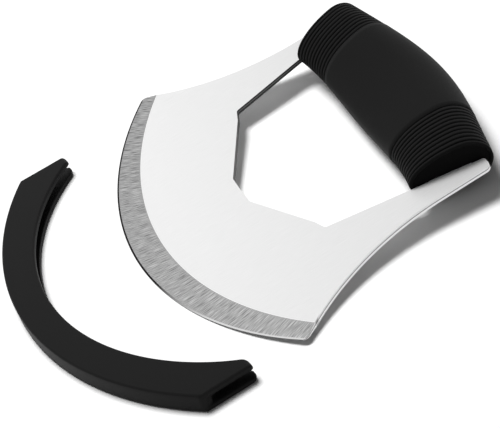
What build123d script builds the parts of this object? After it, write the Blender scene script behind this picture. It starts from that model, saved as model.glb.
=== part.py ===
# Mezzaluna with a blade guard: a stamped crescent blade whose two arms carry a bowed handle,
# and a moulded guard that lies in front of the cutting edge.
# Lengths are in millimetres. Each piece is drawn flat in its own frame: u along the handle (X),
# v from the cutting edge towards the handle (Y), n square to the plate (Z).
from build123d import *

import os
from math import copysign, cos, degrees, hypot, pi, radians, sin, tan

os.makedirs("parts", exist_ok=True)

# Blade plate
plate = 2.0
edge_land = 0.3
edge_radius = 122.0
bevel_flatter = 5.2
bevel_width = 11.4
side_radius = 100.0
arm_end_width = 5.13
arm_straight = 20.3
arm_above_bow = 6.3
arm_corner = 2.2
arm_inner_corner = 1.0
tip_rounding = 2.2
opening_bottom = 45.8
opening_half = 8.0
shoulder_up = 60.3
dogleg_step = 5.46
dogleg_up = 62.15
opening_rounding = 1.5
tang_half = 8.0
overrun = 30.0

# Handle
bow_radius = 240.0
bow_top = 114.0
grip_half_length = 54.0
grip_width = 37.2
grip_end_width = 31.2
grip_height = 24.0
grip_end_height = 18.2
crest_outward = 5.0
middle_sink = 1.775
end_lift = 1.8
end_outward = 0.7
grip_wall = 1.6
core_recess = 0.3
rim_rounding = 0.6

# Ribs at both ends of the grip
end_rib = 0.9
rib_pitch = 2.05
groove_width = 0.9
groove_depth = 1.1
grooves_per_end = 11

# Rivets through the tang
rivet_shank = 4.0
rivet_head = 7.0
rivet_head_height = 1.4
rivet_sink = 1.2
rivet_spacing_share = 0.63

# Guard
guard_height = 7.9
guard_tighter = 2.3
guard_half = 80.9
guard_reach = 51.5
guard_inner_tighter = 25.1
guard_middle_width = 11.9
guard_web = 4.0
guard_rim_rounding = 0.8
guard_tip_rounding = 1.3
edge_play = 0.3
slot_play = 1.4

# How the two lie on the table
roll = 1.3
guard_beside = 15.4
guard_ahead = 45.9
guard_turn = 6.9

# Centre line of the handle: an arc about this point on the v axis
bow_centre = bow_top - bow_radius
end_angle = grip_half_length / bow_radius
stations = 9

# The tilt at which edge and belly both touch the table is searched for between flat and this
steepest_tilt = 45.0
halvings = 40
belly_steps = 80

# The arms follow the planes of the handle's ends, which fan out from the same point
arm_top = bow_top + arm_above_bow
arm_outer = (arm_top - bow_centre) * tan(end_angle) + arm_end_width
side_height = arm_top - arm_straight
dogleg_out = (dogleg_up - bow_centre) * tan(end_angle)
shoulder_out = dogleg_out - dogleg_step
ray_top = (arm_top + overrun - bow_centre) * tan(end_angle)

bevel_radius = edge_radius + bevel_flatter
smooth_half = grip_half_length - end_rib - (grooves_per_end - 1) * rib_pitch - groove_width
rivet_spacing = rivet_spacing_share * grip_half_length
guard_radius = edge_radius - guard_tighter
guard_inner_radius = guard_radius - guard_inner_tighter


def half_width(s):
    """Half of the handle's width in the plate's plane at distance s from its middle."""
    swell = (1 + cos(pi * s / grip_half_length)) / 2
    return (grip_end_width + (grip_width - grip_end_width) * swell) / 2


def half_height(s):
    """Half of the handle's height square to the plate at distance s from its middle."""
    drop = (s / grip_half_length) ** 4
    return (grip_height - (grip_height - grip_end_height) * drop) / 2


def lift(s):
    """How far the handle's middle line stands above the plate's mid plane, or below it."""
    return (end_lift + middle_sink) * (s / grip_half_length) ** 2 - middle_sink


def core_reach(s, side):
    """Height of the core's crest above the plate's mid plane, or its depth below it."""
    return half_height(s) + side * lift(s) - grip_wall


def on_bow(s):
    """Point on the handle's centre line, a little flatter than the arcs of the tang."""
    radius = bow_radius + end_outward * (s / grip_half_length) ** 2
    return (radius * sin(s / bow_radius), bow_centre + radius * cos(s / bow_radius))


def across_bow(s):
    """Plane square to the centre line: its own x points outward, its own y along n."""
    turn = s / bow_radius
    return Plane(
        origin=(*on_bow(s), lift(s)),
        x_dir=(sin(turn), cos(turn), 0),
        z_dir=(cos(turn), -sin(turn), 0),
    )


def barrel(inset):
    """The handle's bowed barrel, everywhere smaller by the inset."""
    with BuildPart() as body:
        for step in range(stations):
            s = grip_half_length * (2 * step / (stations - 1) - 1)
            with BuildSketch(across_bow(s)):
                # Two half ellipses that meet in the crest, which stands nearer the outer side
                with BuildLine():
                    for side, start in ((1, -90), (-1, 90)):
                        EllipticalCenterArc(
                            (crest_outward, 0),
                            half_width(s) - side * crest_outward - inset,
                            half_height(s) - inset,
                            start_angle=start,
                            arc_size=180,
                        )
                make_face()
        loft()
    return body.part


# Blade: outline of the crescent with its two arms and the tang bar that joins them
with BuildSketch() as crescent:
    with Locations((0, edge_radius)):
        Circle(edge_radius)
    with Locations((arm_outer + side_radius, side_height), (-arm_outer - side_radius, side_height)):
        Circle(side_radius, mode=Mode.SUBTRACT)
    for side in (-1, 1):
        with Locations((side * (arm_outer + edge_radius / 2), side_height + edge_radius)):
            Rectangle(edge_radius, 2 * edge_radius, mode=Mode.SUBTRACT)
    with Locations((0, arm_top + edge_radius)):
        Rectangle(2 * edge_radius, 2 * edge_radius, mode=Mode.SUBTRACT)
    tips = crescent.vertices().group_by(Axis.X)[0] + crescent.vertices().group_by(Axis.X)[-1]
    fillet(tips, tip_rounding)
    fillet(crescent.vertices().group_by(Axis.Y)[-1], arm_corner)

# The wedge between the arms: its sides are the planes of the handle's ends
with BuildSketch() as hand_opening:
    with BuildLine():
        Polyline(
            (-opening_half, opening_bottom),
            (opening_half, opening_bottom),
            (shoulder_out, shoulder_up),
            (dogleg_out, dogleg_up),
            (ray_top, arm_top + overrun),
            (-ray_top, arm_top + overrun),
            (-dogleg_out, dogleg_up),
            (-shoulder_out, shoulder_up),
            close=True,
        )
    make_face()
    with Locations((0, bow_centre)):
        Circle(bow_radius - tang_half, mode=Mode.INTERSECT)
    fillet(hand_opening.vertices().group_by(Axis.Y)[:3], opening_rounding)

with BuildSketch() as above_tang:
    with BuildLine():
        Polyline(
            (0, bow_centre),
            (ray_top, arm_top + overrun),
            (-ray_top, arm_top + overrun),
            close=True,
        )
    make_face()
    with Locations((0, bow_centre)):
        Circle(bow_radius + tang_half, mode=Mode.SUBTRACT)

with BuildPart() as blade:
    with BuildSketch() as outline:
        add(crescent.sketch)
        add(hand_opening.sketch, mode=Mode.SUBTRACT)
        add(above_tang.sketch, mode=Mode.SUBTRACT)
        arm_ends = outline.vertices().group_by(Axis.Y)[-1].sort_by(Axis.X)
        fillet(arm_ends[1:3], arm_inner_corner)
    extrude(amount=plate / 2, both=True)

# The ground bevels run from the plate's faces down to the narrow land of the cutting edge
with BuildPart() as ground_form:
    for height in (-plate / 2, -edge_land / 2, edge_land / 2, plate / 2):
        flat = abs(height) == plate / 2
        radius = bevel_radius if flat else edge_radius
        start = bevel_width if flat else 0
        with BuildSketch(Plane.XY.offset(height)):
            with Locations((0, start + radius)):
                Circle(radius)
    loft(ruled=True)
with blade:
    add(ground_form.part, mode=Mode.INTERSECT)

# Handle core: two half shells that clasp the tang bar, pinned through by three rivets
rivet_places = {"near": rivet_spacing, "middle": 0.0, "far": -rivet_spacing}
with BuildSketch() as tang:
    with Locations((0, bow_centre)):
        Circle(bow_radius + tang_half)
        Circle(bow_radius - tang_half, mode=Mode.SUBTRACT)
    with BuildLine():
        Polyline(
            (0, bow_centre),
            (ray_top, arm_top + overrun),
            (-ray_top, arm_top + overrun),
            close=True,
        )
    make_face(mode=Mode.INTERSECT)

rivets = {}
for place, s in rivet_places.items():
    top = core_reach(s, 1) - rivet_sink
    bottom = rivet_sink - core_reach(s, -1)
    with BuildPart() as rivet:
        with BuildSketch(Plane.XY.offset(bottom)):
            with Locations(on_bow(s)):
                Circle(rivet_shank / 2)
        extrude(amount=top - bottom)
        with BuildSketch(Plane.XY.offset(bottom), Plane.XY.offset(top - rivet_head_height)):
            with Locations(on_bow(s)):
                Circle(rivet_head / 2)
        extrude(amount=rivet_head_height)
    rivets[place] = rivet

core_form = barrel(grip_wall)
cores = {}
for name, side in (("upper", 1), ("lower", -1)):
    with BuildPart() as core:
        add(core_form)
        # Only the half on this side of the plate's mid plane stays
        with BuildSketch():
            Rectangle(2 * edge_radius, 4 * edge_radius)
        extrude(amount=-side * grip_height, mode=Mode.SUBTRACT)
        # Its ends stand back a little inside the grip's rim
        for end in (-1, 1):
            with BuildSketch(across_bow(end * (grip_half_length - core_recess))):
                Circle(grip_width)
            extrude(amount=end * grip_width, mode=Mode.SUBTRACT)
        # Pocket for the tang bar
        with BuildSketch():
            add(tang.sketch)
        extrude(amount=plate / 2, both=True, mode=Mode.SUBTRACT)
        # Stepped holes that the rivets fill, open above their heads
        for s in rivet_places.values():
            seat = core_reach(s, side) - rivet_sink - rivet_head_height
            with BuildSketch():
                with Locations(on_bow(s)):
                    Circle(rivet_shank / 2)
            extrude(amount=side * seat, mode=Mode.SUBTRACT)
            with BuildSketch(Plane.XY.offset(side * seat)):
                with Locations(on_bow(s)):
                    Circle(rivet_head / 2)
            extrude(amount=side * grip_height, mode=Mode.SUBTRACT)
    cores[name] = core

# The rivets pass through holes in the tang bar
with blade:
    with BuildSketch():
        for s in rivet_places.values():
            with Locations(on_bow(s)):
                Circle(rivet_shank / 2)
    extrude(amount=plate / 2, both=True, mode=Mode.SUBTRACT)

# Grip: a soft sleeve moulded round the core, smooth in the middle and ribbed at both ends
groove_floor = barrel(groove_depth)
with BuildPart() as grooves:
    for end in (-1, 1):
        for step in range(grooves_per_end):
            s = end * (smooth_half + groove_width / 2 + step * rib_pitch)
            with BuildSketch(across_bow(s)):
                Ellipse(grip_width, grip_height)
            extrude(amount=groove_width / 2, both=True)
    add(groove_floor, mode=Mode.SUBTRACT)

with BuildPart() as grip:
    add(barrel(0))
    rims = [grip.faces().filter_by(GeomType.PLANE).sort_by(Axis.X)[k].edges() for k in (0, -1)]
    fillet(rims[0] + rims[1], rim_rounding)
    add(core_form, mode=Mode.SUBTRACT)
    add(grooves.part, mode=Mode.SUBTRACT)

# Guard: a flat crescent with a deep slot along its inner rim for the cutting edge
with BuildSketch() as guard_band:
    with Locations((0, guard_radius)):
        Circle(guard_radius)
    with Locations((0, guard_middle_width + guard_inner_radius)):
        Circle(guard_inner_radius, mode=Mode.SUBTRACT)
    with Locations((0, guard_reach / 2)):
        Rectangle(2 * guard_half, guard_reach, mode=Mode.INTERSECT)
    fillet(guard_band.vertices().group_by(Axis.Y)[-1], guard_tip_rounding)

slot_radius = edge_radius + edge_play
slot_height = plate + slot_play
with BuildPart() as guard:
    add(guard_band.sketch)
    extrude(amount=guard_height)
    lips = guard.faces().filter_by(Axis.Z)
    fillet(lips.edges(), guard_rim_rounding)
    with BuildSketch(Plane.XY.offset((guard_height - slot_height) / 2)):
        with Locations((0, guard_web + slot_radius)):
            Circle(slot_radius)
    extrude(amount=slot_height, mode=Mode.SUBTRACT)


# The mezzaluna lies on its cutting edge and the belly of its handle
def table_normal(tilt):
    """The table's upward direction as the plate sees it, at this tilt and the roll."""
    turn = radians(roll)
    return (-sin(turn) * cos(tilt), sin(tilt), cos(turn) * cos(tilt))


def edge_low(tilt):
    """Lowest point of the cutting edge, measured along the table's normal."""
    du, dv, dn = table_normal(tilt)
    return edge_radius * (dv - hypot(du, dv)) - edge_land / 2 * dn


def belly_low(tilt):
    """Lowest point of the handle, measured along the table's normal."""
    du, dv, dn = table_normal(tilt)
    lows = []
    for step in range(belly_steps + 1):
        s = smooth_half * (2 * step / belly_steps - 1)
        u, v = on_bow(s)
        outward = sin(s / bow_radius) * du + cos(s / bow_radius) * dv
        width = half_width(s) + copysign(crest_outward, outward)
        reach = hypot(width * outward, half_height(s) * dn) - crest_outward * outward
        lows.append(u * du + v * dv + lift(s) * dn - reach)
    return min(lows)


flattest, steepest = 0.0, radians(steepest_tilt)
for step in range(halvings):
    tilt = (flattest + steepest) / 2
    if belly_low(tilt) < edge_low(tilt):
        flattest = tilt
    else:
        steepest = tilt
print("tilt of the plate", round(degrees(tilt), 3), "rise of its lowest point", round(-edge_low(tilt), 3))

mezzaluna = (blade, *cores.values(), *rivets.values(), grip)
for piece in mezzaluna:
    piece.part.move(Location((0, 0, -edge_low(tilt)), (degrees(tilt), roll, 0)))
guard.part.move(Location((guard_beside, -guard_ahead, 0), (0, 0, guard_turn)))

# The frame's origin is on the table, under the middle of everything's box
whole = Compound([piece.part for piece in (*mezzaluna, guard)]).bounding_box()
centre = whole.center()
for piece in (*mezzaluna, guard):
    piece.part.move(Location((-centre.X, -centre.Y, -whole.min.Z)))
print("box", [round(size, 3) for size in whole.size], "moved by", -centre.X, -centre.Y, -whole.min.Z)

blade.part.label = "blade"
cores["upper"].part.label = "handle_core_upper"
cores["lower"].part.label = "handle_core_lower"
rivets["near"].part.label = "handle_rivet_near"
rivets["middle"].part.label = "handle_rivet_middle"
rivets["far"].part.label = "handle_rivet_far"
grip.part.label = "handle_grip"
guard.part.label = "blade_guard"
for piece in (*mezzaluna, guard):
    export_step(piece.part, "parts/" + piece.part.label + ".step")
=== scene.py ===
# %% [markdown]
# # A mezzaluna and its blade guard
# A mezzaluna is a rocking knife: a crescent of steel with a handle across its back. This one is
# stamped from a single plate. Two arms rise from the crescent and hold a thick, bowed handle with
# a soft grip, and a black plastic guard lies in front of the cutting edge.
# The lesson builds each visible piece as a mesh from a few workshop sizes, gives each finish its
# own material, and then sets up a table, a window-like light and a camera.

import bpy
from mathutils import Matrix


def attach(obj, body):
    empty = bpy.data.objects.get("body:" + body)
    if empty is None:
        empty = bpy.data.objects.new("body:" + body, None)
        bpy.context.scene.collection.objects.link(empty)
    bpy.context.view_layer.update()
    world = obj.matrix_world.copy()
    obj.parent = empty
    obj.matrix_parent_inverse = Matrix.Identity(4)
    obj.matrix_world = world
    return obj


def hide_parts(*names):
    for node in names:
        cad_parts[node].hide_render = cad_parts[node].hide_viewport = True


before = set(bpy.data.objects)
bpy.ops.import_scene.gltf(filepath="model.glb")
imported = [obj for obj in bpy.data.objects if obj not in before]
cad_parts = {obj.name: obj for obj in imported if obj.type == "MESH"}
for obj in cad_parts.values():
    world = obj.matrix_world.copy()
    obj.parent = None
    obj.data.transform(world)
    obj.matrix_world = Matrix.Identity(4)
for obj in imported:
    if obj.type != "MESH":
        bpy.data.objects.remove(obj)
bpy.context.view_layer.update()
print("nodes:", sorted(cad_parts))

# %% Tools of the trade
import math

import bmesh
import bpy
from mathutils import Matrix, Vector

MM = 0.001
print("unit:", MM, "m per mm")

# %% [markdown]
# ## Where the pieces lie
# The blade and handle are easiest to draw flat: u runs along the handle, v from the cutting edge
# to the handle and n stands square on the plate. The finished tool then leans on its cutting edge
# and on the belly of its handle, so one matrix tilts everything that was drawn flat. The guard lies
# flat on the table and is only turned a little.

# %% Resting places of the tool and of the guard
plate_tilt = math.radians(6.603)
plate_roll = math.radians(1.3)
plate_rise = 0.416
table_middle = Vector((3.6171, 42.6141, 0))
guard_spot = Vector((15.4, -45.9, 0))
guard_turn = math.radians(6.9)


def resting(spot, *turns):
    """Matrix that carries a flat drawing in metres to its place on the table."""
    place = Matrix.Translation((spot - table_middle) * MM)
    for turn in turns:
        place = place @ turn
    return place


tool_rest = resting(
    Vector((0, 0, plate_rise)),
    Matrix.Rotation(plate_tilt, 4, "X"),
    Matrix.Rotation(plate_roll, 4, "Y"),
)
guard_rest = resting(guard_spot, Matrix.Rotation(guard_turn, 4, "Z"))
print("tilt of the plate:", round(math.degrees(plate_tilt), 2), "degrees")

# %% Plate sizes, in millimetres
plate = 2.0
edge_land = 0.3
edge_radius = 122.0
bevel_radius = 127.2
bevel_width = 11.4
side_radius = 100.0
tip_rounding = 2.2
arm_end_width = 5.13
arm_straight = 20.3
arm_corner = 2.2
arm_inner_corner = 1.0
opening_bottom = 45.8
opening_half = 8.0
shoulder_up = 60.3
dogleg_step = 5.46
dogleg_up = 62.15
opening_rounding = 1.5
tang_half = 8.0

# %% Handle sizes, in millimetres
bow_radius = 240.0
bow_top = 114.0
grip_half_length = 54.0
grip_width = 37.2
grip_end_width = 31.2
grip_height = 24.0
grip_end_height = 18.2
crest_outward = 5.0
middle_sink = 1.775
end_lift = 1.8
end_outward = 0.7
grip_wall = 1.6
rim_rounding = 0.6
arm_above_bow = 6.3
end_rib = 0.9
rib_pitch = 2.05
groove_depth = 1.1
grooves_per_end = 11
groove_width = 0.9

bow_centre = bow_top - bow_radius
end_angle = grip_half_length / bow_radius
arm_top = bow_top + arm_above_bow
arm_outer = (arm_top - bow_centre) * math.tan(end_angle) + arm_end_width
side_height = arm_top - arm_straight
print("arms reach", round(arm_top, 1), "mm above the edge,", round(arm_outer, 1), "mm out")

# %% [markdown]
# ## Drawing with arcs
# Every outline here is made of straight runs and arcs, as a toolmaker would draw it. Three small
# helpers are enough: points along an arc, the crossing of two circles, and a rounded corner.

# %% Outline helpers
def arc(centre, radius, start, end, steps):
    """Points on a circle from one angle to another, both ends included."""
    turn = (end - start) / steps
    return [
        Vector((centre[0] + radius * math.cos(start + turn * k),
                centre[1] + radius * math.sin(start + turn * k)))
        for k in range(steps + 1)
    ]


def circles_meet(c0, r0, c1, r1, right_of=True):
    """One of the two points that two circles share."""
    d = Vector(c1) - Vector(c0)
    along = (r0 * r0 - r1 * r1 + d.length_squared) / (2 * d.length)
    off = math.sqrt(max(r0 * r0 - along * along, 0))
    unit = d.normalized()
    side = Vector((unit.y, -unit.x)) * (1 if right_of else -1)
    return Vector(c0) + unit * along + side * off


def rounded(before, corner, after, radius, steps=6):
    """The arc that replaces a corner between two straight runs."""
    a = (before - corner).normalized()
    b = (after - corner).normalized()
    half = a.angle(b) / 2
    reach = radius / math.tan(half)
    centre = corner + (a + b).normalized() * (radius / math.sin(half))
    start = corner + a * reach
    end = corner + b * reach
    a0 = math.atan2(*(start - centre).yx)
    a1 = math.atan2(*(end - centre).yx)
    sweep = (a1 - a0 + math.pi) % (2 * math.pi) - math.pi
    return arc(centre, radius, a0, a0 + sweep, steps)


def angle_about(centre, point):
    """Direction from the centre to the point."""
    return math.atan2(point[1] - centre[1], point[0] - centre[0])


print("outline helpers ready")

# %% [markdown]
# ## The crescent's outline
# The cutting edge is one arc. The flanks are hollow arcs that swing up into the two arms. The
# ground bevel stops at a flatter arc, so it is widest in the middle and runs out on the flanks.
# Only the right half is drawn, because the left is its mirror image.

# %% Lines of the right half of the blade
edge_centre = Vector((0, edge_radius))
bevel_centre = Vector((0, bevel_width + bevel_radius))
side_centre = Vector((arm_outer + side_radius, side_height))
bow_point = Vector((0, bow_centre))


def on_ray(height):
    """Point on the arm's inner edge, which lies in the plane of the handle's end."""
    return Vector(((height - bow_centre) * math.tan(end_angle), height))


flank_foot = circles_meet(bevel_centre, bevel_radius, side_centre, side_radius)
tip_centre = circles_meet(
    edge_centre, edge_radius - tip_rounding, side_centre, side_radius + tip_rounding
)
edge_stop = edge_centre + (tip_centre - edge_centre).normalized() * edge_radius
flank_start = side_centre + (tip_centre - side_centre).normalized() * side_radius
print("bevel runs out at", [round(x, 1) for x in flank_foot])

# %% From the middle of the edge, round the tip and up to the arm
edge_steps = 64
tip_steps = 8
short_steps = 8
flank_steps = 32

edge_run = arc(
    edge_centre, edge_radius, -math.pi / 2, angle_about(edge_centre, edge_stop), edge_steps
)
tip_run = arc(
    tip_centre, tip_rounding,
    angle_about(tip_centre, edge_stop), angle_about(tip_centre, flank_start), tip_steps,
)
start_angle = angle_about(side_centre, flank_start) % (2 * math.pi)
foot_angle = angle_about(side_centre, flank_foot) % (2 * math.pi)
short_flank = arc(side_centre, side_radius, start_angle, foot_angle, short_steps)
long_flank = arc(side_centre, side_radius, foot_angle, math.pi, flank_steps)
ground_edge = edge_run + tip_run[1:] + short_flank[1:]
print("points along the ground edge:", len(ground_edge))

# %% Up the arm, round the tang and through the hand opening, back to the middle
outer_top = Vector((arm_outer, arm_top))
inner_top = on_ray(arm_top)
tang_out = bow_point + (inner_top - bow_point).normalized() * (bow_radius + tang_half)
tang_in = bow_point + (inner_top - bow_point).normalized() * (bow_radius - tang_half)
dogleg = on_ray(dogleg_up)
shoulder = Vector((dogleg.x - dogleg_step, shoulder_up))
foot_corner = Vector((opening_half, opening_bottom))
foot_middle = Vector((0, opening_bottom))
tang_angle = math.pi / 2 - end_angle
tang_steps = 16

arm_run = rounded(Vector((arm_outer, side_height)), outer_top, inner_top, arm_corner)
arm_run += rounded(outer_top, inner_top, tang_out, arm_inner_corner)
arm_run += arc(bow_point, bow_radius + tang_half, tang_angle, math.pi / 2, tang_steps)
opening_run = arc(bow_point, bow_radius - tang_half, math.pi / 2, tang_angle, tang_steps)
opening_run += rounded(tang_in, dogleg, shoulder, opening_rounding)
opening_run += rounded(dogleg, shoulder, foot_corner, opening_rounding)
opening_run += rounded(shoulder, foot_corner, foot_middle, opening_rounding)
opening_run += [foot_middle]
print("points round the arm and opening:", len(arm_run) + len(opening_run))

# %% [markdown]
# ## Building meshes
# A piece is drawn in millimetres in its own flat frame, then scaled to metres and laid down. Every
# vertex remembers where it was drawn, so that the finishes can follow the drawing. The piece takes
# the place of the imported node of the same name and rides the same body.

# %% From a drawing to a piece in its place
# Corners nearer to each other than this, in millimetres, are one corner
same_place = 1e-4


def finish_piece(bm, name, place, materials, body):
    """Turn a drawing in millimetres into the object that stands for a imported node."""
    bmesh.ops.remove_doubles(bm, verts=bm.verts, dist=same_place)
    bmesh.ops.recalc_face_normals(bm, faces=bm.faces)
    bmesh.ops.scale(bm, vec=(MM, MM, MM), verts=bm.verts)
    mesh = bpy.data.meshes.new(name + "_mesh")
    bm.to_mesh(mesh)
    bm.free()
    drawn = mesh.attributes.new("drawn at", "FLOAT_VECTOR", "POINT")
    for vertex, memory in zip(mesh.vertices, drawn.data):
        memory.vector = vertex.co
    mesh.transform(place)
    for material in materials:
        mesh.materials.append(material)
    for polygon in mesh.polygons:
        polygon.use_smooth = True
    piece = bpy.data.objects.new(name + "_shown", mesh)
    bpy.context.scene.collection.objects.link(piece)
    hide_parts(name)
    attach(piece, body)
    return piece


def mirror_left(bm):
    """Add the mirror image of everything drawn on the right of the middle."""
    copied = bmesh.ops.duplicate(bm, geom=bm.verts[:] + bm.edges[:] + bm.faces[:])["geom"]
    verts = [item for item in copied if isinstance(item, bmesh.types.BMVert)]
    faces = [item for item in copied if isinstance(item, bmesh.types.BMFace)]
    bmesh.ops.scale(bm, vec=(-1, 1, 1), verts=verts)
    bmesh.ops.reverse_faces(bm, faces=faces)


def soften(piece, width, segments=2):
    """Round the edges that carry a bevel weight, and keep broad faces flat."""
    bevel = piece.modifiers.new("soft edges", "BEVEL")
    bevel.width = width * MM
    bevel.segments = segments
    bevel.limit_method = "WEIGHT"
    bevel.harden_normals = False
    level = piece.modifiers.new("level faces", "WEIGHTED_NORMAL")
    level.keep_sharp = True


print("piece helpers ready")

# %% [markdown]
# ## Finishes
# The steel's faces are brushed from the edge towards the handle, so their fine lines run along v.
# Everything else has one faint, even grain: the black plastics, the sheared walls, the honed edge
# and the rivets. Each of these two effects is a node group, made once and used by several materials.

# %% Helpers for nodes
def node(tree, kind, **settings):
    """A new node with the given settings."""
    made = tree.nodes.new(kind)
    for name, value in settings.items():
        setattr(made, name, value)
    return made


def new_group(name, inputs, outputs):
    """An empty node group with number sockets."""
    group = bpy.data.node_groups.new(name, "ShaderNodeTree")
    for label, value in inputs.items():
        socket = group.interface.new_socket(
            name=label, in_out="INPUT", socket_type="NodeSocketFloat"
        )
        socket.default_value = value
    for label in outputs:
        group.interface.new_socket(name=label, in_out="OUTPUT", socket_type="NodeSocketFloat")
    return group, node(group, "NodeGroupInput"), node(group, "NodeGroupOutput")


def math_node(tree, operation, first, second=0.0):
    """A math node fed by sockets or plain numbers. Some operations need only the first."""
    made = node(tree, "ShaderNodeMath", operation=operation)
    for socket, value in zip(made.inputs, (first, second)):
        if isinstance(value, (int, float)):
            socket.default_value = value
        else:
            tree.links.new(value, socket)
    return made.outputs[0]


print("node helpers ready")

# %% Fine lines along v, for brushed and ground steel
brushing, lines_in, lines_out = new_group(
    "brushed lines",
    {"Across": 0.0, "Along": 0.0, "Lines per metre": 9000.0, "Stretch": 60.0, "Depth": 0.1},
    ["Change", "Height"],
)
across_scale = lines_in.outputs["Lines per metre"]
along_scale = math_node(brushing, "DIVIDE", across_scale, lines_in.outputs["Stretch"])
across = math_node(brushing, "MULTIPLY", lines_in.outputs["Across"], across_scale)
along = math_node(brushing, "MULTIPLY", lines_in.outputs["Along"], along_scale)
spot = node(brushing, "ShaderNodeCombineXYZ")
brushing.links.new(across, spot.inputs[0])
brushing.links.new(along, spot.inputs[1])
grain = node(brushing, "ShaderNodeTexNoise", noise_dimensions="2D")
grain.inputs["Scale"].default_value = 1.0
grain.inputs["Detail"].default_value = 3.0
brushing.links.new(spot.outputs[0], grain.inputs["Vector"])
centred = math_node(brushing, "SUBTRACT", grain.outputs[0], 0.5)
change = math_node(brushing, "MULTIPLY", centred, lines_in.outputs["Depth"])
brushing.links.new(change, lines_out.inputs["Change"])
brushing.links.new(grain.outputs[0], lines_out.inputs["Height"])
print("group:", brushing.name)

# %% The faint grain of moulded plastic
skin, skin_in, skin_out = new_group(
    "moulded skin", {"Grains per metre": 2500.0, "Depth": 0.1}, ["Change", "Height"]
)
place = node(skin, "ShaderNodeTexCoord")
specks = node(skin, "ShaderNodeTexNoise")
specks.inputs["Detail"].default_value = 2.0
skin.links.new(place.outputs["Object"], specks.inputs["Vector"])
skin.links.new(skin_in.outputs["Grains per metre"], specks.inputs["Scale"])
centred = math_node(skin, "SUBTRACT", specks.outputs[0], 0.5)
change = math_node(skin, "MULTIPLY", centred, skin_in.outputs["Depth"])
skin.links.new(change, skin_out.inputs["Change"])
skin.links.new(specks.outputs[0], skin_out.inputs["Height"])
print("group:", skin.name)


# %% A material whose roughness and surface come from one of the two groups
# Depth of the finest relief, in metres
bump_depth = 0.0001


def new_material(name, group, settings, grey, roughness, metallic=0.0, specular=0.5, bump=0.02):
    """A principled material with the group's change on its roughness and its height as a bump."""
    material = bpy.data.materials.new(name)
    material.use_nodes = True
    tree = material.node_tree
    shader = tree.nodes["Principled BSDF"]
    shader.inputs["Base Color"].default_value = (grey, grey, grey, 1)
    shader.inputs["Metallic"].default_value = metallic
    shader.inputs["Specular IOR Level"].default_value = specular
    effect = node(tree, "ShaderNodeGroup")
    effect.node_tree = group
    for label, value in settings.items():
        effect.inputs[label].default_value = value
    rough = math_node(tree, "ADD", effect.outputs["Change"], roughness)
    tree.links.new(rough, shader.inputs["Roughness"])
    raised = node(tree, "ShaderNodeBump")
    raised.inputs["Strength"].default_value = bump
    raised.inputs["Distance"].default_value = bump_depth
    tree.links.new(effect.outputs["Height"], raised.inputs["Height"])
    tree.links.new(raised.outputs[0], shader.inputs["Normal"])
    return material


def drawn_at(tree):
    """The place where each point was drawn, as the sockets u, v and n in metres."""
    drawn = node(tree, "ShaderNodeAttribute", attribute_name="drawn at")
    apart = node(tree, "ShaderNodeSeparateXYZ")
    tree.links.new(drawn.outputs["Vector"], apart.inputs[0])
    return apart.outputs


def ramp_between(tree, value, start, end):
    """A number that climbs from 0 to 1 while the value goes from start to end."""
    climb = node(tree, "ShaderNodeMapRange")
    climb.inputs["From Min"].default_value = start
    climb.inputs["From Max"].default_value = end
    tree.links.new(value, climb.inputs["Value"])
    return climb.outputs[0]


def grey_mix(tree, factor, low, high):
    """A grey that goes from low to high, which may be numbers or colour sockets."""
    mixer = node(tree, "ShaderNodeMix", data_type="RGBA")
    for label, value in (("A", low), ("B", high)):
        socket = [item for item in mixer.inputs if item.name == label and item.type == "RGBA"][0]
        if isinstance(value, float):
            socket.default_value = (value, value, value, 1)
        else:
            tree.links.new(value, socket)
    tree.links.new(factor, mixer.inputs["Factor"])
    return [item for item in mixer.outputs if item.type == "RGBA"][0]


def colour_with(material, socket):
    """Feed a colour socket into the material's base colour."""
    tree = material.node_tree
    tree.links.new(socket, tree.nodes["Principled BSDF"].inputs["Base Color"])


def group_node(material):
    """The material's copy of its effect group."""
    return [item for item in material.node_tree.nodes if item.type == "GROUP"][0]


def streaks(tree, material, across, along):
    """Lay the brushed lines across and along these sockets and give them as 0 to 1."""
    lines = group_node(material)
    tree.links.new(across, lines.inputs["Across"])
    tree.links.new(along, lines.inputs["Along"])
    return ramp_between(tree, lines.outputs["Height"], 0.3, 0.7)


def squared(tree, value):
    """The value times itself."""
    return math_node(tree, "POWER", value, 2.0)


print("material helpers ready")

# %% The materials, each with its grey and roughness
ground_steel = new_material(
    "ground bevel steel", brushing, {"Lines per metre": 3600.0, "Stretch": 17.0, "Depth": 0.2},
    grey=0.4, roughness=0.4, metallic=1.0, bump=0.1,
)
plate_steel = new_material(
    "plate steel", brushing, {"Depth": 0.12}, grey=0.84, roughness=0.55, metallic=0.3, bump=0.05
)
wall_steel = new_material("sheared wall steel", skin, {}, grey=0.8, roughness=0.45, metallic=0.6)
# The walls round the hand opening are painted almost black: painted shade and the painted dark
# reflection of the handle. Their line is a little lighter
opening_wall_painted_shade = new_material(
    "opening wall steel painted shade", skin, {}, grey=0.1, roughness=0.5, metallic=0.6
)
# The honed land is painted near black: painted shade for the thin dark line along the cutting edge
honed_steel_painted_shade = new_material("honed edge steel painted shade", skin, {}, grey=0.03, roughness=0.4, metallic=1.0)
rivet_steel = new_material("rivet steel", skin, {}, grey=0.6, roughness=0.4, metallic=1.0)
core_plastic = new_material("core plastic", skin, {}, grey=0.002, roughness=0.55, specular=0.03)
soft_rubber = new_material(
    "soft grip rubber", skin, {"Depth": 0.2}, grey=0.004, roughness=0.6, specular=0.065
)
guard_plastic = new_material(
    "guard plastic", skin, {"Depth": 0.2}, grey=0.009, roughness=0.5, specular=0.05
)
print("materials:", sorted(material.name for material in bpy.data.materials))

# %% Plate steel: brushed along v and a little greyer towards the arms
greying_starts = 20.0
greying_ends = 120.0

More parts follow.
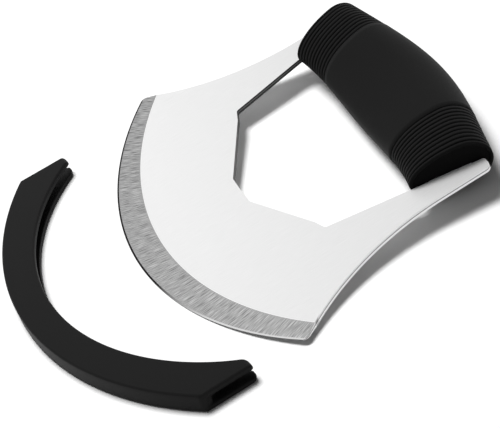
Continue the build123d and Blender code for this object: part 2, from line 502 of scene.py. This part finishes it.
tree = plate_steel.node_tree
u, v, n = drawn_at(tree)
streak = streaks(tree, plate_steel, u, v)
towards_arms = ramp_between(tree, v, greying_starts * MM, greying_ends * MM)
bright_grey = grey_mix(tree, towards_arms, 0.81, 0.7)
dark_grey = grey_mix(tree, towards_arms, 0.76, 0.65)
colour_with(plate_steel, grey_mix(tree, streak, dark_grey, bright_grey))
print("plate steel brushed")

# %% Ground bevel: fine slanting lines, darker steel with a painted reflection, a bright line where it starts, a painted shade and highlight along the edge
line_slant = 0.35
flank_out = 85.0
border_width = 0.3
honed_width = 0.7
edge_shade_ends = 20.0
edge_highlight_full = 50.0

tree = ground_steel.node_tree
u, v, n = drawn_at(tree)
down = math_node(tree, "SUBTRACT", (bevel_width + bevel_radius) * MM, v)
squares = math_node(tree, "ADD", squared(tree, u), squared(tree, down))
reach = math_node(tree, "SQRT", squares)
turn = math_node(tree, "ARCTAN2", u, down)
across = math_node(tree, "MULTIPLY", turn, bevel_radius * MM)
across = math_node(tree, "ADD", across, math_node(tree, "MULTIPLY", reach, line_slant))
streak = streaks(tree, ground_steel, across, reach)
# Painted reflection: the ground steel is darker at the far tip and lightens along u towards the near
# tip, standing in for the bevel's changing reflection
side = ramp_between(tree, u, -flank_out * MM, flank_out * MM)
dark_grey = grey_mix(tree, side, 0.14, 0.22)
bright_grey = grey_mix(tree, side, 0.56, 0.66)
lined = grey_mix(tree, streak, dark_grey, bright_grey)

# Painted shade and highlight on the honed edge: a near black band from the far tip past the middle,
# which turns into a bright line between 20 and 50 mm along u
below = math_node(tree, "SUBTRACT", edge_radius * MM, v)
squares = math_node(tree, "ADD", squared(tree, u), squared(tree, below))
from_centre = math_node(tree, "SQRT", squares)
honed = math_node(tree, "GREATER_THAN", from_centre, (edge_radius - honed_width) * MM)
shade_to_highlight = ramp_between(tree, u, edge_shade_ends * MM, edge_highlight_full * MM)
lined = grey_mix(tree, honed, lined, grey_mix(tree, shade_to_highlight, 0.01, 0.7))

beyond = math_node(tree, "SUBTRACT", reach, bevel_radius * MM)
border = math_node(tree, "LESS_THAN", beyond, border_width * MM)
colour_with(ground_steel, grey_mix(tree, border, lined, 0.9))
print("ground bevel lined")

# %% Sheared walls: a dark line part way down, where the punch stopped cutting and the steel tore; the walls round the opening get painted shade
# Heights over the plate's mid plane, in millimetres, between which the dark line lies
cut_above = 0.3
torn_below = -0.1

for material, cut_grey, line_grey, torn_grey in (
    (wall_steel, 0.75, 0.25, 0.85), (opening_wall_painted_shade, 0.02, 0.12, 0.02)
):
    tree = material.node_tree
    u, v, n = drawn_at(tree)
    cut = math_node(tree, "GREATER_THAN", n, cut_above * MM)
    torn = math_node(tree, "LESS_THAN", n, torn_below * MM)
    colour_with(material, grey_mix(tree, torn, grey_mix(tree, cut, line_grey, cut_grey), torn_grey))
print("walls lined")

# %% Rubber: its own grey on the crests of the ribs, and a near black painted shade in their valleys
valley_painted_shade = 0.0001
crest_grey = 0.0058

tree = soft_rubber.node_tree
crest = node(tree, "ShaderNodeAttribute", attribute_name="crest")
colour_with(soft_rubber, grey_mix(tree, crest.outputs["Fac"], valley_painted_shade, crest_grey))
print("rubber follows the ribs")

# %% [markdown]
# ## The blade
# The ground bevel is a strip between two curves: the edge with its rounded tips, and a flatter arc
# higher up. Every column of the strip points to the centre of that flatter arc. The thickness falls
# from the full plate at the inner curve to a narrow land at the edge.

# %% Half thickness of the plate at a point
def half_thickness(point):
    """Half of the plate's thickness, which falls towards the edge on the ground bevel."""
    inside_edge = edge_radius - (point - edge_centre).length
    below_bevel = (point - bevel_centre).length - bevel_radius
    if below_bevel <= 0:
        return plate / 2
    share = max(inside_edge, 0) / (max(inside_edge, 0) + below_bevel)
    return edge_land / 2 + (plate - edge_land) / 2 * share


def bevel_foot(point):
    """Where the column through a point of the edge starts, on the flatter arc."""
    away = (point - bevel_centre).normalized()
    lowest = (flank_foot - bevel_centre).normalized()
    if away.x > lowest.x:
        away = lowest
    return bevel_centre + away * bevel_radius


for height in (0, bevel_width):
    print("half thickness", height, "mm up:", round(half_thickness(Vector((0, height))), 3), "mm")

# %% Draw the right half of the blade
bm = bmesh.new()
weight = bm.edges.layers.float.new("bevel_weight_edge")
ground_rows = 5
on_plate, on_bevel, on_wall, on_honed, on_opening = range(5)
feet = [bevel_foot(point) for point in ground_edge]
feet[-1] = ground_edge[-1]
rim = {}
for side in (1, -1):
    columns = []
    for outer, inner in zip(ground_edge, feet):
        column = []
        for row in range(ground_rows + 1):
            point = inner.lerp(outer, row / ground_rows)
            column.append(bm.verts.new((point.x, point.y, side * half_thickness(point))))
        columns.append(column)
    for first, second in zip(columns, columns[1:]):
        for row in range(ground_rows):
            face = bm.faces.new((first[row], first[row + 1], second[row + 1], second[row]))
            face.material_index = on_bevel
        bm.edges.get((first[0], second[0])).smooth = False
        bm.edges.get((first[-1], second[-1])).smooth = False
    upper = [Vector((point.x, point.y)) for point in long_flank[1:] + arm_run + opening_run]
    flat_rim = [bm.verts.new((point.x, point.y, side * plate / 2)) for point in upper]
    face = bm.faces.new([column[0] for column in columns] + flat_rim)
    face.material_index = on_plate
    rim[side] = [column[-1] for column in columns] + flat_rim

# %% Walls between the two faces, apart from the cut through the middle of the tang
land_count = len(edge_run)
flank_starts = len(ground_edge)
opening_starts = flank_starts + len(long_flank) - 1 + len(arm_run) - 1
for k in range(len(rim[1]) - 1):
    if k == opening_starts:
        continue
    wall = bm.faces.new((rim[1][k], rim[1][k + 1], rim[-1][k + 1], rim[-1][k]))
    wall.material_index = on_honed if k < land_count else on_wall
    if k > opening_starts:
        wall.material_index = on_opening
    for side in (1, -1):
        if k >= flank_starts:
            bm.edges.get((rim[side][k], rim[side][k + 1]))[weight] = 1.0
print("faces in the right half:", len(bm.faces))

# %% Mirror it and lay it down
mirror_left(bm)
plate_softening = 0.22
steels = (plate_steel, ground_steel, wall_steel, honed_steel_painted_shade, opening_wall_painted_shade)
blade = finish_piece(bm, "blade", tool_rest, steels, "mezzaluna")
soften(blade, plate_softening)
print("blade:", len(blade.data.polygons), "faces")

# %% [markdown]
# ## The grip
# The handle is a barrel, carried along a bow and swelling in the middle. Its section is egg-shaped:
# two half ellipses meet in a crest that stands nearer the outer side. The soft sleeve is smooth
# where the palm lies and ribbed at both ends, with rounded crests and valleys between them that
# get a painted shade.

# %% The barrel's shape
def bow_share(s):
    """How far along its half the place at distance s lies."""
    return s / grip_half_length


def barrel_point(s, turn, inset):
    """Point on the handle at distance s along the bow and at an angle round it."""
    share = bow_share(s)
    swell = (1 + math.cos(math.pi * share)) / 2
    width = (grip_end_width + (grip_width - grip_end_width) * swell) / 2 - inset
    width -= math.copysign(crest_outward, math.cos(turn))
    height = (grip_height - (grip_height - grip_end_height) * share ** 4) / 2 - inset
    out = bow_radius + end_outward * share ** 2 + crest_outward + width * math.cos(turn)
    angle = s / bow_radius
    lift = (end_lift + middle_sink) * share ** 2 - middle_sink
    up = lift + height * math.sin(turn)
    return (out * math.sin(angle), bow_centre + out * math.cos(angle), up)


smooth_half = grip_half_length - end_rib - (grooves_per_end - 1) * rib_pitch - groove_width
crest_inset = 0.1
valley_roundness = 1.5


def skin_inset(s):
    """How far the sleeve's surface lies below the smooth barrel."""
    beyond = abs(s) - smooth_half
    if beyond <= 0:
        return 0.0
    phase = (beyond - groove_width / 2) / rib_pitch
    if beyond > (grooves_per_end - 1) * rib_pitch + groove_width:
        phase = grooves_per_end - 0.5
    if beyond < groove_width / 2:
        return groove_depth * math.sin(math.pi * beyond / groove_width)
    valley = max(math.cos(2 * math.pi * phase), 0) ** valley_roundness
    return crest_inset + (groove_depth - crest_inset) * valley


print("smooth length:", round(2 * smooth_half, 1), "mm")

# %% Stations along the sleeve, with rounded rims and the bore back through it
smooth_steps = 14
ribbed_step = 0.16
rim_steps = 5
bore_steps = 18

rim_start = grip_half_length - rim_rounding
half_run = [smooth_half * k / smooth_steps for k in range(smooth_steps + 1)]
steps = int((rim_start - smooth_half) / ribbed_step)
half_run += [smooth_half + (rim_start - smooth_half) * k / steps for k in range(1, steps + 1)]
outside = [(s, skin_inset(s)) for s in half_run]
rim_turns = [math.pi / 2 * k / rim_steps for k in range(1, rim_steps + 1)]
last_inset = outside[-1][1]
outside += [
    (rim_start + rim_rounding * math.sin(a), max(last_inset, rim_rounding * (1 - math.cos(a))))
    for a in rim_turns
]
bore = [(grip_half_length * (1 - k / bore_steps), grip_wall) for k in range(bore_steps + 1)]
right_side = outside + bore
left_side = [(-s, inset) for s, inset in reversed(right_side)]
profile = left_side[1:] + right_side[1:-1]
print("rings along the sleeve:", len(profile))

# %% Skin the rings and close them into a tube
bm = bmesh.new()
around = 112
# How strongly the crests keep the rubber's own grey, and how far below them, in millimetres, the
# painted valley shade is full
crest_gain = 2.4
crest_depth = 0.5
crest = bm.verts.layers.float.new("crest")
rings = []
for s, inset in profile:
    ring = [bm.verts.new(barrel_point(s, 2 * math.pi * k / around, inset)) for k in range(around)]
    unshaded_share = 1.0
    if abs(s) > smooth_half:
        unshaded_share = crest_gain * max(1 - (inset - crest_inset) / crest_depth, 0) ** 2
    for vertex in ring:
        vertex[crest] = unshaded_share
    rings.append(ring)
for first, second in zip(rings, rings[1:] + rings[:1]):
    for k in range(around):
        after = (k + 1) % around
        bm.faces.new((first[k], first[after], second[after], second[k]))
grip = finish_piece(bm, "handle_grip", tool_rest, (soft_rubber,), "mezzaluna")
print("grip:", len(grip.data.polygons), "faces")

# %% The core and the rivets stay as packed and only get their finish
for name, material in (
    ("handle_core_upper", core_plastic),
    ("handle_core_lower", core_plastic),
    ("handle_rivet_near", rivet_steel),
    ("handle_rivet_middle", rivet_steel),
    ("handle_rivet_far", rivet_steel),
):
    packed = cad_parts[name]
    packed.data.materials.clear()
    packed.data.materials.append(material)
print("core and rivets have their finish")

# %% [markdown]
# ## The guard
# The guard is a flat crescent with a deep slot along its inner rim. Across every column its
# section is a C: a web at the outer rim with an upper and a lower lip. Near the ends the slot runs
# out through the cut face, so the two lips part there.

# %% Guard sizes, in millimetres
guard_height = 7.9
guard_tighter = 2.3
guard_half = 80.9
guard_reach = 51.5
guard_inner_tighter = 25.1
guard_middle_width = 11.9
guard_web = 4.0
guard_tip_rounding = 1.3
guard_softening = 0.8
edge_play = 0.3
slot_play = 1.4
nose = 2.1

guard_radius = edge_radius - guard_tighter
guard_inner_radius = guard_radius - guard_inner_tighter
slot_radius = edge_radius + edge_play
slot_height = plate + slot_play
slot_low = (guard_height - slot_height) / 2
slot_high = guard_height - slot_low
guard_centre = Vector((0, guard_radius))
hollow_centre = Vector((0, guard_middle_width + guard_inner_radius))
slot_centre = Vector((0, guard_web + slot_radius))
print("slot from", slot_low, "to", slot_high, "mm up")


# %% Columns from the outer rim to the inner rim
def on_circle_towards(origin, direction, centre, radius):
    """Far crossing of a ray with a circle that it starts inside of."""
    unit = direction.normalized()
    offset = origin - centre
    toward = offset.dot(unit)
    return origin + unit * (math.sqrt(toward ** 2 - offset.length_squared + radius ** 2) - toward)


def hollow_at(height):
    """Point of the inner rim at this height."""
    rise = height - hollow_centre.y
    return Vector((math.sqrt(guard_inner_radius ** 2 - rise ** 2), height))


rim_columns = 56
cut_columns = 8
nose_columns = 8
tip_narrowing = 0.8

end_turn = math.asin(guard_half / guard_radius)
columns = []
for k in range(rim_columns + 1):
    turn = end_turn * k / rim_columns
    heading = Vector((math.sin(turn), -math.cos(turn)))
    outer = guard_centre + heading * guard_radius
    inner = on_circle_towards(guard_centre, heading, hollow_centre, guard_inner_radius)
    columns.append((outer, inner))
cut_foot, hollow_foot = columns[-1]
slot_out = slot_centre.y - math.sqrt(slot_radius ** 2 - guard_half ** 2)
cut_top = guard_reach - nose
for k in range(cut_columns + 1):
    height = slot_out + (cut_top - slot_out) * k / cut_columns
    share = (height - cut_foot.y) / (cut_top - cut_foot.y)
    inner_height = hollow_foot.y + (cut_top - hollow_foot.y) * share
    columns.append((Vector((guard_half, height)), hollow_at(inner_height)))
drops = [0.0] * len(columns)
for k in range(1, nose_columns + 1):
    turn = math.pi / 2 * k / nose_columns
    height = cut_top + nose * math.sin(turn)
    past = max(height - (guard_reach - guard_tip_rounding), 0)
    inward = guard_tip_rounding - math.sqrt(guard_tip_rounding ** 2 - past ** 2)
    inner = hollow_at(height) + Vector((inward * tip_narrowing, 0))
    columns.append((Vector((guard_half - inward, height)), inner))
    drops.append(nose * (1 - math.cos(turn)))
print("columns in half of the guard:", len(columns))

# %% Draw the right half of the guard
# A corner this near to the slot's round floor, in millimetres, counts as lying on it
slack = 1e-3
# The lips' inner edges are rounded less than their outer ones
lip_softness = 0.4

bm = bmesh.new()
weight = bm.edges.layers.float.new("bevel_weight_edge")
sections = []
webs = []
for (outer, inner), drop in zip(columns, drops):
    in_slot = (outer - slot_centre).length <= slot_radius + slack
    floor_point = outer
    if not in_slot:
        floor_point = on_circle_towards(inner, outer - inner, slot_centre, slot_radius)
    webs.append(not in_slot)
    top = guard_height - drop
    corners = [(outer, drop), (outer, slot_low), (outer, slot_high), (outer, top),
               (inner, top), (inner, slot_high), (floor_point, slot_high),
               (floor_point, slot_low), (inner, slot_low), (inner, drop)]
    sections.append([bm.verts.new((point.x, point.y, up)) for point, up in corners])
for k, (first, second) in enumerate(zip(sections, sections[1:])):
    for c in range(10):
        if c in (1, 6) and not webs[k]:
            continue
        after = (c + 1) % 10
        bm.faces.new((first[c], first[after], second[after], second[c]))
    softness = 1 - drops[k + 1] / nose
    for c in (0, 3, 4, 9):
        bm.edges.get((first[c], second[c]))[weight] = softness
    for c in (5, 8):
        bm.edges.get((first[c], second[c]))[weight] = lip_softness * softness
last = sections[-1]
bm.faces.new((last[6], last[3], last[4], last[5]))
bm.faces.new((last[0], last[7], last[8], last[9]))
print("faces in the right half:", len(bm.faces))

# %% Mirror it, lay it down and soften its edges
mirror_left(bm)
guard = finish_piece(bm, "blade_guard", guard_rest, (guard_plastic,), "guard")
soften(guard, guard_softening, segments=3)
print("guard:", len(guard.data.polygons), "faces")

# %% [markdown]
# ## Table, light and camera
# The picture is bright: a white table that shows only the shadows, a white room for the steel to
# mirror, and one broad light almost overhead.

# %% A white table
bpy.ops.mesh.primitive_plane_add(size=6)
table = bpy.context.object
table.name = "table"
paper = bpy.data.materials.new("white table")
paper.use_nodes = True
shader = paper.node_tree.nodes["Principled BSDF"]
shader.inputs["Base Color"].default_value = (0.97, 0.97, 0.97, 1)
shader.inputs["Roughness"].default_value = 0.9
shader.inputs["Specular IOR Level"].default_value = 0.0
table.data.materials.append(paper)
print("table:", table.name)

# %% A white room that lights softly
room_share = 0.13
world = bpy.data.worlds.new("white room")
bpy.context.scene.world = world
world.use_nodes = True
tree = world.node_tree
room = tree.nodes["Background"]
room.inputs["Color"].default_value = (1, 1, 1, 1)
rays = node(tree, "ShaderNodeLightPath")
seen = math_node(tree, "MAXIMUM", rays.outputs["Is Camera Ray"], rays.outputs["Is Glossy Ray"])
seen = math_node(tree, "MAXIMUM", seen, rays.outputs["Is Transmission Ray"])
strength = math_node(tree, "MULTIPLY", seen, 1.0 - room_share)
strength = math_node(tree, "ADD", strength, room_share)
tree.links.new(strength, room.inputs["Strength"])
print("room lights softly and is seen white")

# %% One broad light
lamp = bpy.data.lights.new("window", "AREA")
lamp.shape = "SQUARE"
lamp.size = 0.36
lamp.energy = 9.4
window = bpy.data.objects.new("window", lamp)
bpy.context.scene.collection.objects.link(window)
window.location = (-0.14, -0.1, 0.9)
window.visible_glossy = False
window.rotation_euler = (-window.location).to_track_quat("-Z", "Y").to_euler()
print("window light:", lamp.energy, "W")

# %% Camera
view_azimuth = math.radians(81.76154)
view_elevation = math.radians(36.7832)
view_roll = math.radians(-21.73089)
aim = Vector((11.2229, 0.4796, 6.0723)) * MM
distance = 645.663 * MM
back = Vector((
    math.sin(view_azimuth) * math.cos(view_elevation),
    -math.cos(view_azimuth) * math.cos(view_elevation),
    math.sin(view_elevation),
))
level_right = (-back).cross(Vector((0, 0, 1))).normalized()
level_up = level_right.cross(-back)
camera_right = math.cos(view_roll) * level_right + math.sin(view_roll) * level_up
camera_up = -math.sin(view_roll) * level_right + math.cos(view_roll) * level_up
camera = bpy.data.objects.new("camera", bpy.data.cameras.new("camera"))
bpy.context.scene.collection.objects.link(camera)
camera.data.lens = 129.716
camera.data.sensor_width = 36
camera.data.clip_start = 0.01
turned = Matrix((camera_right, camera_up, back)).transposed().to_4x4()
camera.matrix_world = Matrix.Translation(aim + back * distance) @ turned
bpy.context.scene.camera = camera
bpy.context.scene.view_settings.view_transform = "Standard"
print("camera at", [round(x, 3) for x in camera.location])
